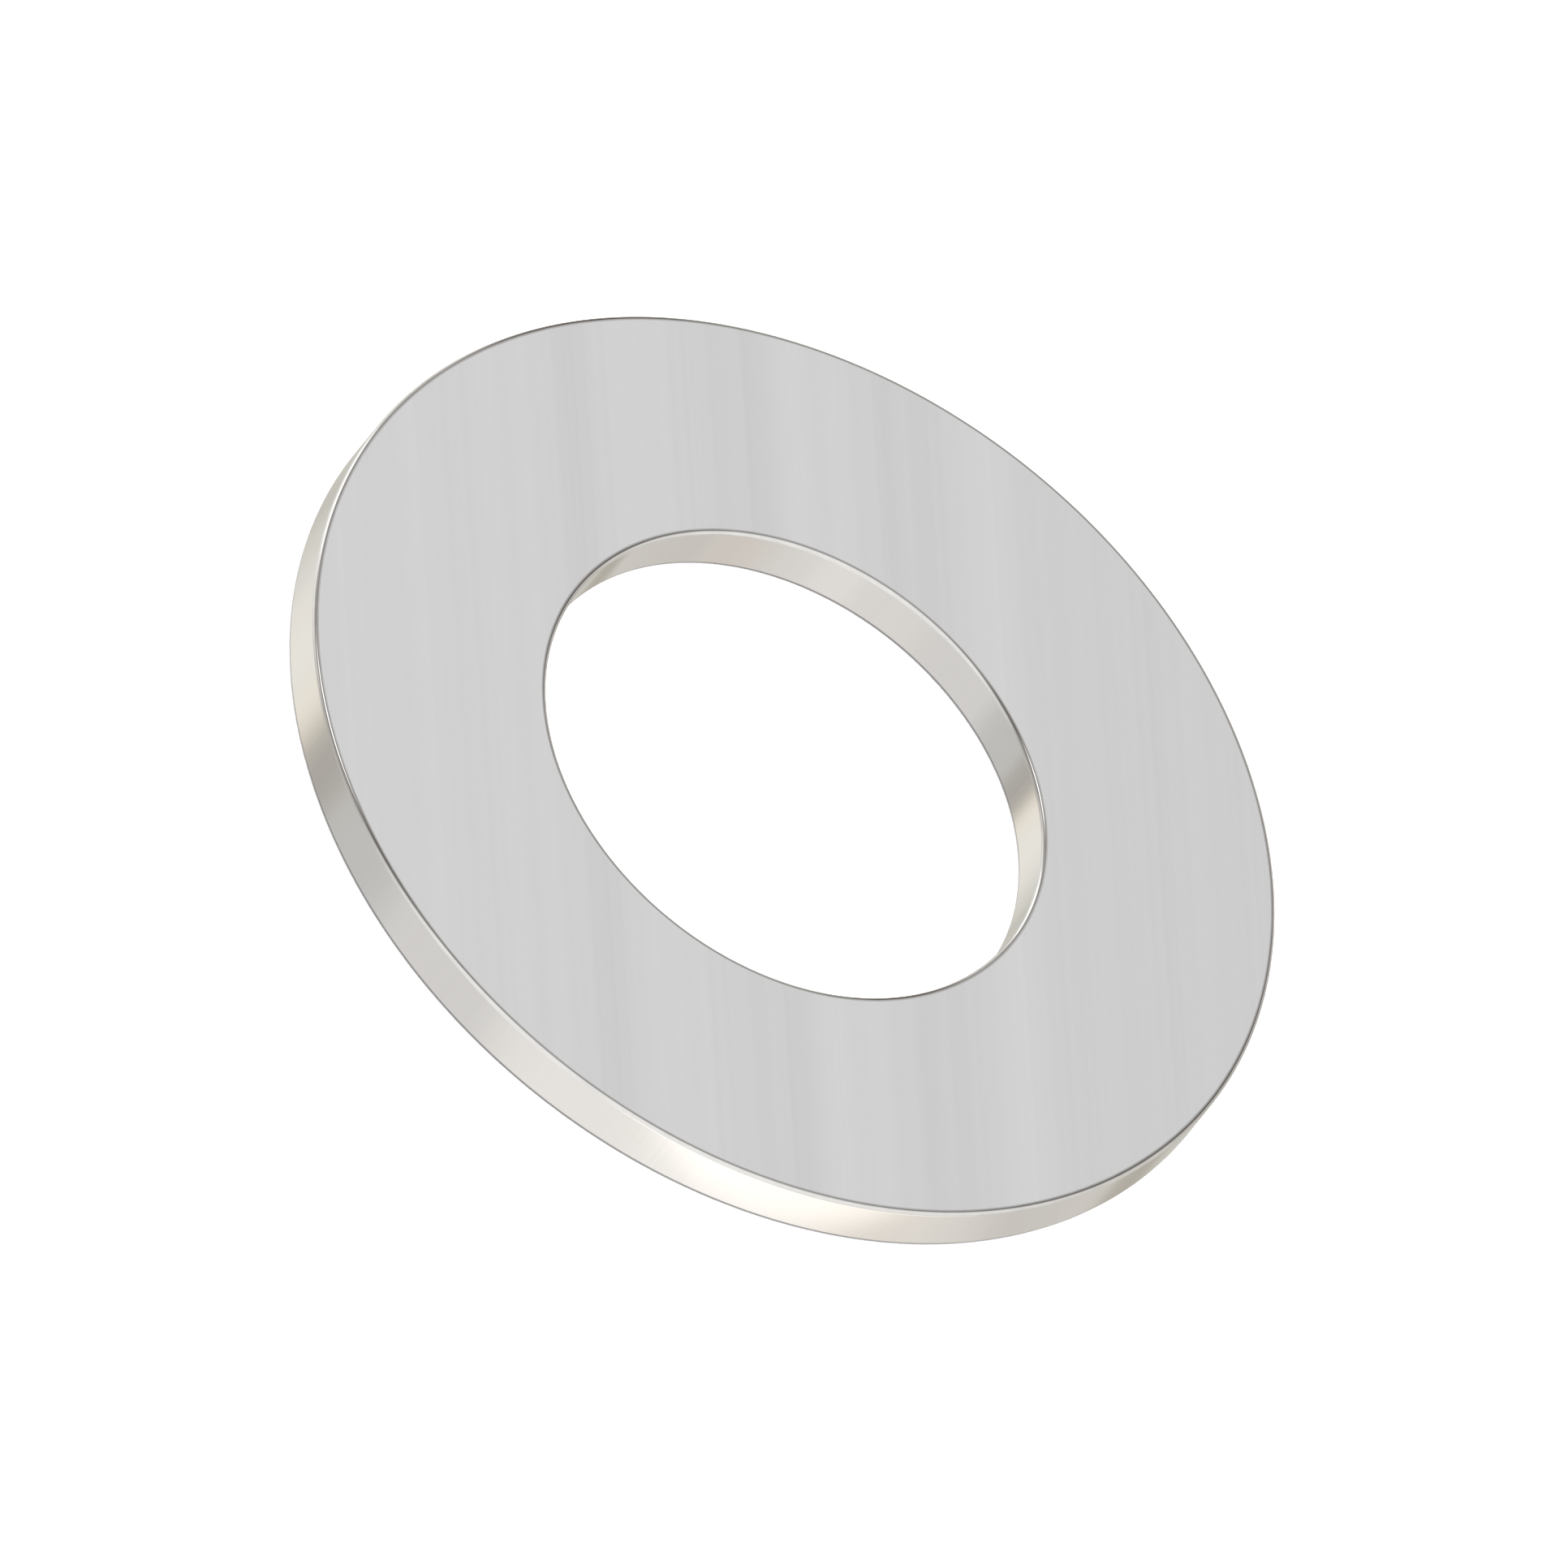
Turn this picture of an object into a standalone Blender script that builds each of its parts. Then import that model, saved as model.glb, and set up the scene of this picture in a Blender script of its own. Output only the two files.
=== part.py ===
"""Plain flat washer: one ring of sheet steel with a round hole and eased edges.

The washer lies flat. Its axis is the world's Z axis and its lower face rests on z = 0.
The upper and lower halves are alike, so it can be fitted either way up.
"""

import math

import bmesh
import bpy

MM = 0.001

# Driving dimensions.
OUTER_DIAMETER = 20.0 * MM
HOLE_DIAMETER = 10.3 * MM
THICKNESS = 1.04 * MM
EDGE_WIDTH = 0.11 * MM   # how far an eased edge reaches across a face
EDGE_DEPTH = 0.06 * MM   # how far it reaches along a wall

# Fineness of the surface.
TURN_STEPS = 128         # flats around the ring
EDGE_STEPS = 3           # flats along each eased edge
JOIN_DISTANCE = 0.001 * MM

# Bare stainless steel.
STEEL_COLOUR = (0.62, 0.62, 0.61, 1.0)
STEEL_ROUGHNESS = 0.35
STEEL_METALLIC = 1.0


def clear_scene():
    """Removes whatever the scene holds."""
    for thing in list(bpy.data.objects):
        bpy.data.objects.remove(thing)


def steel_material():
    """The washer's own material."""
    material = bpy.data.materials.new("stainless_steel")
    material.use_nodes = True
    shader = material.node_tree.nodes["Principled BSDF"]
    shader.inputs["Base Color"].default_value = STEEL_COLOUR
    shader.inputs["Roughness"].default_value = STEEL_ROUGHNESS
    shader.inputs["Metallic"].default_value = STEEL_METALLIC
    return material


def ring_section():
    """The section through one side of the ring, as (radius, height) points.

    It starts on the upper face, runs down the outer wall, across the lower face and up the
    wall of the hole. Each corner is a quarter of an ellipse, wider across the face than it
    is deep, as a punched and tumbled edge is.
    """
    inner = HOLE_DIAMETER / 2 + EDGE_WIDTH
    outer = OUTER_DIAMETER / 2 - EDGE_WIDTH
    low = EDGE_DEPTH
    high = THICKNESS - EDGE_DEPTH
    corners = [(outer, high), (outer, low), (inner, low), (inner, high)]
    points = []
    for quarter, (radius, height) in enumerate(corners):
        for step in range(EDGE_STEPS + 1):
            angle = math.pi / 2 * (1 - quarter - step / EDGE_STEPS)
            across = EDGE_WIDTH * math.cos(angle)
            up = EDGE_DEPTH * math.sin(angle)
            points.append((radius + across, height + up))
    return points


def section_mesh(name, points):
    """A closed outline in the XZ plane."""
    outline = bmesh.new()
    corners = [outline.verts.new((radius, 0, height)) for radius, height in points]
    for start, end in zip(corners, corners[1:] + corners[:1]):
        outline.edges.new((start, end))
    mesh = bpy.data.meshes.new(name)
    outline.to_mesh(mesh)
    outline.free()
    return mesh


def washer(collection):
    """The ring, turned about Z from its section."""
    ring = bpy.data.objects.new("washer", section_mesh("washer", ring_section()))
    collection.objects.link(ring)
    ring.data.materials.append(steel_material())

    turn = ring.modifiers.new("Turn", "SCREW")
    turn.axis = "Z"
    turn.angle = 2 * math.pi
    turn.steps = TURN_STEPS
    turn.render_steps = TURN_STEPS
    turn.use_merge_vertices = True
    turn.merge_threshold = JOIN_DISTANCE
    turn.use_smooth_shade = True

    # Keeps the wide faces flat to the eye beside their small rounded edges.
    ring.modifiers.new("Flat faces", "WEIGHTED_NORMAL")
    return ring


def main():
    clear_scene()
    collection = bpy.data.collections.new("flat_washer")
    bpy.context.scene.collection.children.link(collection)
    washer(collection)


main()
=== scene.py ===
"""A flat washer of stainless sheet, finely modelled around its CAD solid, on a plain white floor.

Everything is in metres in the row frame: the washer lies flat with its axis along +Z, its
lower face on z = 0 and the rolling grain of the sheet along +Y.
"""

import math

import bmesh
import bpy
import numpy as np
from mathutils import Matrix, Vector


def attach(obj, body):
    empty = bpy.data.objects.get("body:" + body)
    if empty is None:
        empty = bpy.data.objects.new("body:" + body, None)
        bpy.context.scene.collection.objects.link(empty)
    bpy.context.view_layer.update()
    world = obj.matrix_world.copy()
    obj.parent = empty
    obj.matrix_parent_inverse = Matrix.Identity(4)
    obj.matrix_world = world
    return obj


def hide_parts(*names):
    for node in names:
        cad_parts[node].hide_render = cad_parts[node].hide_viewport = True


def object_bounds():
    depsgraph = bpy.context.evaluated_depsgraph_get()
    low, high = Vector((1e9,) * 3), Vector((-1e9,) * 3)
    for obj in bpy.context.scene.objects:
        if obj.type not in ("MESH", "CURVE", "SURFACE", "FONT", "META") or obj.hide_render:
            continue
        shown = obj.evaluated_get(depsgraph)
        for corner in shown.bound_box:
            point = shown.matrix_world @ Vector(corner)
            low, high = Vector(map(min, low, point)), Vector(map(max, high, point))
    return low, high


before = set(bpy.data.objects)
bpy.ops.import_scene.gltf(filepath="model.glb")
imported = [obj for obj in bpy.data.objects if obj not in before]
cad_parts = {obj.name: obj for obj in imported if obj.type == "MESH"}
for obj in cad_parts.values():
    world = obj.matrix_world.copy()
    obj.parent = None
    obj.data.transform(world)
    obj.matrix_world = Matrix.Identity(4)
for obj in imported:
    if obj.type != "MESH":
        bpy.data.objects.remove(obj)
cad_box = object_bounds()

MM = 0.001

# The camera: azimuth 0 looks along +Y, and the roll turns the picture clockwise.
CAMERA_AZIMUTH = math.radians(-33.4)
CAMERA_ELEVATION = math.radians(45.0)
CAMERA_ROLL = math.radians(39.18)
CAMERA_DISTANCE = 60 * MM
PICTURE_WIDTH = 29.15 * MM
AIM_RIGHT = 0.03 * MM    # from the washer's middle to the picture's middle
AIM_UP = -0.07 * MM
CAMERA_CLIP = (1 * MM, 2000 * MM)

# The ring's fineness.
RING_STEPS = 480
EDGE_STEPS = 10
FLAT_MARGIN = 0.02 * MM  # a narrow loop beside each rounded edge keeps the flats flat
SHORTEST_FLAT = 0.1 * MM  # a shorter step of the section is part of a rounded edge
SAME_PLACE = 0.001 * MM   # points of the CAD solid this near to a surface lie on it

FLOOR_SIZE = 1500 * MM
FLOOR_GAP = 0.002 * MM
FLOOR_COLOUR = (0.97, 0.97, 0.97, 1.0)
FLOOR_ROUGHNESS = 0.9

# A wide lamp over the floor.
OVERHEAD_SIZE = 600 * MM
OVERHEAD_HEIGHT = 400 * MM
OVERHEAD_WATTS = 4.0


# ---------------------------------------------------------------- node helpers


def add(tree, kind, inputs=None, **settings):
    """A new node with its settings, and its inputs linked or given by name or number."""
    made = tree.nodes.new(kind)
    for name, value in settings.items():
        setattr(made, name, value)
    for name, value in (inputs or {}).items():
        if isinstance(value, bpy.types.NodeSocket):
            tree.links.new(value, made.inputs[name])
        else:
            made.inputs[name].default_value = value
    return made


def maths(tree, operation, *values):
    """The result of a Math node."""
    return add(tree, "ShaderNodeMath", dict(enumerate(values)), operation=operation).outputs[0]


def remap(tree, value, low, high, to_low, to_high, kind="LINEAR"):
    """value, with low to high made into to_low to to_high."""
    names = {"Value": value, "From Min": low, "From Max": high, "To Min": to_low, "To Max": to_high}
    return add(tree, "ShaderNodeMapRange", names, interpolation_type=kind).outputs[0]


def blank_material(name):
    """A material with only a Principled shader, and its tree and shader."""
    material = bpy.data.materials.new(name)
    material.use_nodes = True
    tree = material.node_tree
    return material, tree, tree.nodes["Principled BSDF"]


def place_in_mm(tree):
    """Where a surface point is, in millimetres in the row frame."""
    place = add(tree, "ShaderNodeTexCoord").outputs["Object"]
    scaled = add(tree, "ShaderNodeVectorMath", {0: place, "Scale": 1 / MM}, operation="SCALE")
    return scaled.outputs[0]


def noise(tree, place, stretch, detail=2.0, roughness=0.5):
    """Smooth noise from 0 to 1, finer where stretch is larger."""
    moved = add(tree, "ShaderNodeMapping", {"Vector": place, "Scale": stretch})
    names = {"Vector": moved.outputs[0], "Scale": 1.0, "Detail": detail, "Roughness": roughness}
    return add(tree, "ShaderNodeTexNoise", names, noise_dimensions="3D").outputs["Fac"]


NOISE_LOW, NOISE_HIGH = 0.2, 0.8    # nearly all of a noise's values lie between these


def varied(tree, value, low, high):
    """Noise made to vary from low to high."""
    return remap(tree, value, NOISE_LOW, NOISE_HIGH, low, high)


# ------------------------------------------------------------------- materials

FACE_COLOUR = (0.602, 0.602, 0.603)
WALL_COLOUR = (0.70, 0.68, 0.64)
# painted shade: the dark colour of the lines along the rounded edges and at the walls' lower ends
PAINTED_SHADE_COLOUR = (0.42, 0.415, 0.41)
EDGE_COLOUR = (0.70, 0.69, 0.67)

# Lowest and highest roughness.
FACE_ROUGHNESS = (0.215, 0.265)
WALL_ROUGHNESS = (0.10, 0.15)
PAINTED_SHADE_ROUGHNESS = (0.10, 0.16)
EDGE_ROUGHNESS = (0.05, 0.10)

# How far the brightness strays from 1.
FACE_VARIATION = 0.006
WALL_VARIATION = 0.015
EDGE_VARIATION = 0.08

# How fine the marks are along X, Y and Z, per mm.
FACE_GRAIN = (7.0, 0.01, 3.0)
FACE_SCRATCHES = (60.0, 0.5, 3.0)
WALL_LINES = (14.0, 14.0, 0.15)
EDGE_WEAR = (2.0, 2.0, 2.0)

GRAIN_DEPTH = 0.0005 * MM
GRAIN_STRENGTH = 0.3
SCRATCH_SHARE = 0.5      # a scratch's depth beside a grain line's

# Lighter and darker bands along the sheet's grain: X and half-width in mm, and brightness.
BANDS = [
    (-9.2, 0.5, 0.012),
    (-7.7, 0.5, 0.020),
    (-6.0, 0.4, 0.020),
    (-5.3, 0.4, 0.018),
    (-4.2, 0.6, -0.042),
    (-3.0, 0.9, 0.026),
    (-2.3, 0.3, 0.018),
    (-1.1, 0.5, -0.020),
    (-0.4, 0.5, -0.034),
    (0.5, 0.6, 0.042),
    (1.3, 0.6, 0.030),
    (2.4, 0.4, -0.028),
    (3.1, 0.5, -0.022),
    (4.4, 0.9, 0.047),
    (7.7, 0.4, -0.012),
    (8.4, 0.4, 0.014),
]
BAND_TREND = -0.0022     # brightness lost per mm towards +X


def tinted(tree, colour, brightness):
    """colour times a brightness that varies over the surface."""
    names = {0: colour, "Scale": brightness}
    return add(tree, "ShaderNodeVectorMath", names, operation="SCALE").outputs[0]


def banded(tree, place):
    """The brightness of the rolled bands, around 1."""
    across = add(tree, "ShaderNodeSeparateXYZ", {0: place}).outputs["X"]
    bright = maths(tree, "MULTIPLY_ADD", across, BAND_TREND, 1.0)
    for middle, half_width, strength in BANDS:
        away = maths(tree, "ABSOLUTE", maths(tree, "SUBTRACT", across, middle))
        band = remap(tree, away, 0.0, half_width, strength, 0.0, "SMOOTHSTEP")
        bright = maths(tree, "ADD", bright, band)
    return bright


def finish_metal(tree, shader, colour, bright, marks, roughness):
    """Bare metal whose marks vary its roughness."""
    tree.links.new(tinted(tree, colour, bright), shader.inputs["Base Color"])
    tree.links.new(varied(tree, marks, *roughness), shader.inputs["Roughness"])
    shader.inputs["Metallic"].default_value = 1.0


def face_material():
    """Rolled sheet: satin, with soft bands and fine straight grain lines along +Y."""
    material, tree, shader = blank_material("rolled_face")
    place = place_in_mm(tree)
    grain = noise(tree, place, FACE_GRAIN, detail=3.0, roughness=0.6)
    fine = varied(tree, grain, 1 - FACE_VARIATION, 1 + FACE_VARIATION)
    bright = maths(tree, "MULTIPLY", banded(tree, place), fine)
    finish_metal(tree, shader, FACE_COLOUR, bright, grain, FACE_ROUGHNESS)
    scratches = noise(tree, place, FACE_SCRATCHES, detail=2.0, roughness=0.6)
    height = maths(tree, "ADD", grain, maths(tree, "MULTIPLY", scratches, SCRATCH_SHARE))
    names = {"Height": height, "Strength": GRAIN_STRENGTH, "Distance": GRAIN_DEPTH}
    bump = add(tree, "ShaderNodeBump", names)
    tree.links.new(bump.outputs[0], shader.inputs["Normal"])
    return material


def wall_material():
    """Punched wall: smooth and warm, with faint lines that the punch drew along the axis."""
    material, tree, shader = blank_material("punched_wall")
    drawn = noise(tree, place_in_mm(tree), WALL_LINES, detail=3.0, roughness=0.6)
    bright = varied(tree, drawn, 1 - WALL_VARIATION, 1 + WALL_VARIATION)
    finish_metal(tree, shader, WALL_COLOUR, bright, drawn, WALL_ROUGHNESS)
    return material


def edge_material(name, colour, roughness):
    """Tumbled metal, a little lighter and darker as the wear goes; in the dark colour, painted shade.
    """
    material, tree, shader = blank_material(name)
    worn = noise(tree, place_in_mm(tree), EDGE_WEAR, detail=4.0, roughness=0.6)
    bright = varied(tree, worn, 1 - EDGE_VARIATION, 1 + EDGE_VARIATION)
    finish_metal(tree, shader, colour, bright, worn, roughness)
    return material


# -------------------------------------------------------------------- the ring


def ring_sizes():
    """The washer's sizes, read from its CAD solid."""
    points = np.array([tuple(v.co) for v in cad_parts["washer"].data.vertices])
    radius = np.hypot(points[:, 0], points[:, 1])
    height = points[:, 2]
    top = height.max()
    on_top = radius[height > top - SAME_PLACE]
    on_wall = height[radius > radius.max() - SAME_PLACE]
    return {
        "outer": radius.max(),
        "inner": radius.min(),
        "top": top,
        "edge_width": radius.max() - on_top.max(),
        "edge_depth": top - on_wall.max(),
    }


# The surfaces of the ring, in the order of its materials.
FACE, WALL, PAINTED_SHADE, EDGE = range(4)
# The third surface is painted shade: dark lines on the lower rounded edges, at the walls' lower ends
# and on the upper edges' steps next to the face.
PAINTED_SHADE_STEPS = 3           # of an upper edge's steps, those next to the face that are dark


def ring_section(sizes):
    """The section as (radius, height, surface after the point), down the outside and up the hole."""
    width, depth = sizes["edge_width"], sizes["edge_depth"]
    outer = sizes["outer"] - width
    inner = sizes["inner"] + width
    high = sizes["top"] - depth
    # Painted shade covers the lower rounded edges and the upper edges' steps next to the face.
    corners = [
        (outer, high, [PAINTED_SHADE] * PAINTED_SHADE_STEPS + [EDGE] * (EDGE_STEPS - PAINTED_SHADE_STEPS) + [WALL]),
        (outer, depth, [PAINTED_SHADE] * EDGE_STEPS + [FACE]),
        (inner, depth, [PAINTED_SHADE] * EDGE_STEPS + [WALL]),
        (inner, high, [EDGE] * (EDGE_STEPS - PAINTED_SHADE_STEPS) + [PAINTED_SHADE] * PAINTED_SHADE_STEPS + [FACE]),
    ]
    rows = []
    for quarter, (radius, height, surfaces) in enumerate(corners):
        for step, surface in enumerate(surfaces):
            angle = math.pi / 2 * (1 - quarter - step / EDGE_STEPS)
            rows.append((radius + width * math.cos(angle), height + depth * math.sin(angle), surface))
    return with_margins(rows)


def with_margins(rows):
    """The section with a narrow loop at both ends of each flat, dark with painted shade at a wall's
    lower end.
    """
    made = []
    for index, (radius, height, surface) in enumerate(rows):
        after = rows[(index + 1) % len(rows)]
        start, end = Vector((radius, height)), Vector(after[:2])
        span = end - start
        if span.length < SHORTEST_FLAT:
            made.append((radius, height, surface))
            continue
        inwards = span.normalized() * FLAT_MARGIN
        first = PAINTED_SHADE if surface == WALL and span.y > 0 else surface
        last = PAINTED_SHADE if surface == WALL and span.y < 0 else surface
        for point, kind in ((start, first), (start + inwards, surface), (end - inwards, last)):
            made.append((point.x, point.y, kind))
    return made


def turned(name, rows, steps, materials):
    """A closed ring turned about Z from a section."""
    ring = bmesh.new()
    loops = []
    for turn in range(steps):
        angle = 2 * math.pi * turn / steps
        across, along = math.cos(angle), math.sin(angle)
        loops.append([ring.verts.new((r * across, r * along, z)) for r, z, _ in rows])
    for turn, loop in enumerate(loops):
        beside = loops[(turn + 1) % steps]
        for index, (_, _, surface) in enumerate(rows):
            after = (index + 1) % len(rows)
            corners = (loop[index], loop[after], beside[after], beside[index])
            face = ring.faces.new(corners)
            face.material_index = surface
            face.smooth = True
    ring.normal_update()
    mesh = bpy.data.meshes.new(name)
    ring.to_mesh(mesh)
    ring.free()
    for material in materials:
        mesh.materials.append(material)
    made = bpy.data.objects.new(name, mesh)
    bpy.context.scene.collection.objects.link(made)
    return made


def make_washer():
    """The fine ring that stands for the CAD washer."""
    rows = ring_section(ring_sizes())
    materials = [
        face_material(),
        wall_material(),
        # painted shade: dark lines along the rounded edges
        edge_material("painted_shade_line", PAINTED_SHADE_COLOUR, PAINTED_SHADE_ROUGHNESS),
        edge_material("bright_edge", EDGE_COLOUR, EDGE_ROUGHNESS),
    ]
    ring = turned("washer_ring", rows, RING_STEPS, materials)
    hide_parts("washer")
    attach(ring, "root")


# ------------------------------------------------------------ floor and studio


def make_floor():
    """A plain white floor that isn't mirrored or in the way of the studio's light from below."""
    material, _, shader = blank_material("white_floor")
    shader.inputs["Base Color"].default_value = FLOOR_COLOUR
    shader.inputs["Roughness"].default_value = FLOOR_ROUGHNESS
    shader.inputs["Specular IOR Level"].default_value = 0.0
    bpy.ops.mesh.primitive_plane_add(size=FLOOR_SIZE, location=(0, 0, -FLOOR_GAP))
    floor = bpy.context.active_object
    floor.name = "floor"
    floor.data.materials.append(material)
    floor.visible_glossy = False
    floor.visible_shadow = False


def direction(azimuth, elevation):
    """A unit vector, with azimuth counted from +X towards +Y, in degrees."""
    around, up = math.radians(azimuth), math.radians(elevation)
    return Vector((math.cos(around) * math.cos(up), math.sin(around) * math.cos(up), math.sin(up)))


STUDIO_LIGHT = (0.83, 0.81, 0.79)   # the light between the panels
WHITE = (1.02, 1.02, 1.02)          # what the camera sees past the floor

# What the studio holds around the washer. Each panel or dark card has an azimuth and elevation,
# its half-width at full strength and to its end, all in degrees, and what it adds to the light
# from there. The walls mirror those below, and the face and its rounded edges those above.
# STUDIO_LIGHT and the rows marked fitted are a least-squares fit's results, rounded: the fit was
# to the colours of the hole's wall in the photo. The other rows were set one by one.
PANELS = [
    (230, -45, 35, 62, (0.14, 0.15, 0.18)),  # fitted
    (272, -45, 1, 10, (0.07, 0.07, 0.07)),  # fitted
    (197, -45, 15, 29, (-0.07, -0.06, -0.05)),  # fitted
    (163, -45, 10, 21, (-0.175, -0.165, -0.17)),  # fitted, then adjusted
    (151, -45, 2, 9, (-0.16, -0.17, -0.17)),  # fitted, then adjusted
    (138, -45, 1, 6, (0.08, 0.04, 0.0)),  # fitted
    (116, -45, 1, 27, (0.26, 0.27, 0.25)),  # fitted
    (103, -45, 4, 12, (-0.055, -0.06, -0.045)),
    (71, -45, 22, 26, (-0.07, -0.05, -0.06)),  # fitted
    (57, -45, 6, 40, (-0.13, -0.14, -0.16)),
    (29, -45, 1, 8, (-0.19, -0.19, -0.21)),  # fitted, then adjusted
    (351, -45, 7, 16, (-0.05, -0.045, -0.045)),
    (318, -45, 2, 11, (0.025, 0.0, -0.01)),
    (0, -90, 28, 40, (-0.55, -0.55, -0.55)),
    (262, 45, 20, 90, (0.32, 0.34, 0.36)),
    (118, 10, 10, 30, (0.32, 0.34, 0.36)),
    (56.6, 45, 24, 42, (-0.30, -0.30, -0.30)),
    (56.6, 45, 8, 18, (0.61, 0.63, 0.65)),
    (105, 31, 6, 12, (1.05, 1.08, 1.11)),
    (103, 59, 3, 8, (1.45, 1.46, 1.48)),
    (118, 49, 4, 13, (-0.40, -0.41, -0.42)),
    (30, 42, 6, 20, (-0.30, -0.30, -0.30)),
    (17, 5, 6, 20, (-0.22, -0.22, -0.22)),
    (76, 16, 3, 11, (-0.58, -0.58, -0.58)),
    (75, -8, 3, 11, (-0.62, -0.62, -0.62)),
    (95, 71, 5, 10, (-0.38, -0.39, -0.40)),
    (125, 68, 5, 13, (-0.46, -0.46, -0.46)),
    (152, 56, 8, 20, (-0.48, -0.48, -0.48)),
    (162, 35, 6, 20, (-0.32, -0.32, -0.32)),
    (170, 0, 8, 30, (-0.24, -0.24, -0.24)),
]

# Two lamps in front, below the floor and near enough for only the outer wall to mirror them. They
# lie across the line that the wall mirrors at this azimuth, and reach so many mm left, right, down
# and up from it. The feather is their soft border across and up, in mm, and the light is red,
# green and blue. Most of these numbers are results, rounded, of least-squares fits to the outer
# wall in the photo.
RIM_WALL_AZIMUTH = 259.0
RIM_MIRROR = (281.4, -45.0)
RIM_LAMP_DISTANCE = 9 * MM
RIM_KEY = {
    "left": 6.7,
    "right": 13.0,
    "down": 0.33,
    "up": 3.0,
    "feather": (0.6, 0.95),
    "light": (0.40, 0.38, 0.36),
}
RIM_GLOW = {
    "left": 19.0,
    "right": 15.6,
    "down": 7.0,
    "up": 4.0,
    "feather": (4.5, 3.0),
    "light": (0.12, 0.12, 0.12),
}


def make_studio():
    """The world: soft light from all round, with the panels and cards, and white to the camera."""
    world = bpy.data.worlds.new("studio")
    bpy.context.scene.world = world
    world.use_nodes = True
    tree = world.node_tree
    tree.nodes.clear()
    way = add(tree, "ShaderNodeTexCoord").outputs["Generated"]
    light = add(tree, "ShaderNodeCombineXYZ", dict(enumerate(STUDIO_LIGHT))).outputs[0]
    for azimuth, elevation, full, edge, colour in PANELS:
        axis = direction(azimuth, elevation)
        facing = add(tree, "ShaderNodeVectorMath", {0: way, 1: axis}, operation="DOT_PRODUCT")
        inner, outer = math.cos(math.radians(full)), math.cos(math.radians(edge))
        lobe = remap(tree, facing.outputs["Value"], outer, inner, 0.0, 1.0, "SMOOTHSTEP")
        names = {0: lobe, 1: colour, 2: light}
        light = add(tree, "ShaderNodeVectorMath", names, operation="MULTIPLY_ADD").outputs[0]
    seen = add(tree, "ShaderNodeLightPath").outputs["Is Camera Ray"]
    names = {"Factor": seen, 4: light, 5: WHITE}
    light = add(tree, "ShaderNodeMix", names, data_type="VECTOR").outputs[1]
    shown = add(tree, "ShaderNodeBackground", {"Color": light})
    add(tree, "ShaderNodeOutputWorld", {"Surface": shown.outputs[0]})


def make_overhead_lamp():
    """A wide soft lamp overhead that brightens the floor and isn't mirrored by the metal."""
    lamp = bpy.data.lights.new("overhead", "AREA")
    lamp.size = OVERHEAD_SIZE
    lamp.energy = OVERHEAD_WATTS
    made = bpy.data.objects.new("overhead", lamp)
    made.location = (0, 0, OVERHEAD_HEIGHT)
    made.visible_glossy = False
    made.visible_camera = False
    bpy.context.scene.collection.objects.link(made)


WATTS_TO_LIGHT = 4       # an area lamp's watts for each square metre and unit of light


def feathered(lamp, sizes, feathers):
    """Fades a rectangular lamp to nothing over a border that has its own width on each axis."""
    lamp.use_nodes = True
    tree = lamp.node_tree
    across = add(tree, "ShaderNodeNewGeometry").outputs["Parametric"]
    parts = add(tree, "ShaderNodeSeparateXYZ", {0: across})
    fade = 1.0
    for axis, size, feather in zip("XY", sizes, feathers):
        off_centre = maths(tree, "ABSOLUTE", maths(tree, "SUBTRACT", parts.outputs[axis], 0.5))
        border = feather / size
        ramp = remap(tree, off_centre, 0.5 - border, 0.5, 1.0, 0.0, "SMOOTHSTEP")
        fade = maths(tree, "MULTIPLY", ramp, fade)
    tree.links.new(fade, tree.nodes["Emission"].inputs["Strength"])


def make_rim_lamp(name, left, right, down, up, feather, light):
    """A lamp that only the outer wall mirrors, placed and sized as told above RIM_KEY."""
    width, height = left + right, down + up
    lamp = bpy.data.lights.new(name, "AREA")
    lamp.shape = "RECTANGLE"
    lamp.size = width * MM
    lamp.size_y = height * MM
    lamp.energy = WATTS_TO_LIGHT * lamp.size * lamp.size_y
    lamp.color = light
    feathered(lamp, (width, height), feather)
    outer_radius = cad_box[1].x
    way = direction(*RIM_MIRROR)
    turn = way.to_track_quat("Z", "Y")
    anchor = direction(RIM_WALL_AZIMUTH, 0) * outer_radius + way * RIM_LAMP_DISTANCE
    made = bpy.data.objects.new(name, lamp)
    made.rotation_mode = "QUATERNION"
    made.rotation_quaternion = turn
    made.location = anchor + turn @ Vector(((right - left) / 2, (up - down) / 2, 0)) * MM
    made.visible_camera = False
    made.visible_diffuse = False
    bpy.context.scene.collection.objects.link(made)


def make_camera():
    """A camera without perspective, looking down at the washer from the front left."""
    low, high = cad_box
    azimuth, elevation = CAMERA_AZIMUTH, CAMERA_ELEVATION
    back = Vector((
        math.sin(azimuth) * math.cos(elevation),
        -math.cos(azimuth) * math.cos(elevation),
        math.sin(elevation),
    ))
    turn = (-back).to_track_quat("-Z", "Y").to_matrix() @ Matrix.Rotation(CAMERA_ROLL, 3, "Z")
    camera = bpy.data.objects.new("camera", bpy.data.cameras.new("camera"))
    camera.data.type = "ORTHO"
    camera.data.ortho_scale = PICTURE_WIDTH
    camera.data.clip_start, camera.data.clip_end = CAMERA_CLIP
    aim = (low + high) / 2 + turn @ Vector((AIM_RIGHT, AIM_UP, 0))
    camera.matrix_world = Matrix.Translation(aim + back * CAMERA_DISTANCE) @ turn.to_4x4()
    bpy.context.scene.collection.objects.link(camera)
    bpy.context.scene.camera = camera


make_camera()
make_washer()
make_floor()
make_studio()
make_overhead_lamp()
make_rim_lamp("rim_key", **RIM_KEY)
make_rim_lamp("rim_glow", **RIM_GLOW)
bpy.context.scene.view_settings.view_transform = "Standard"
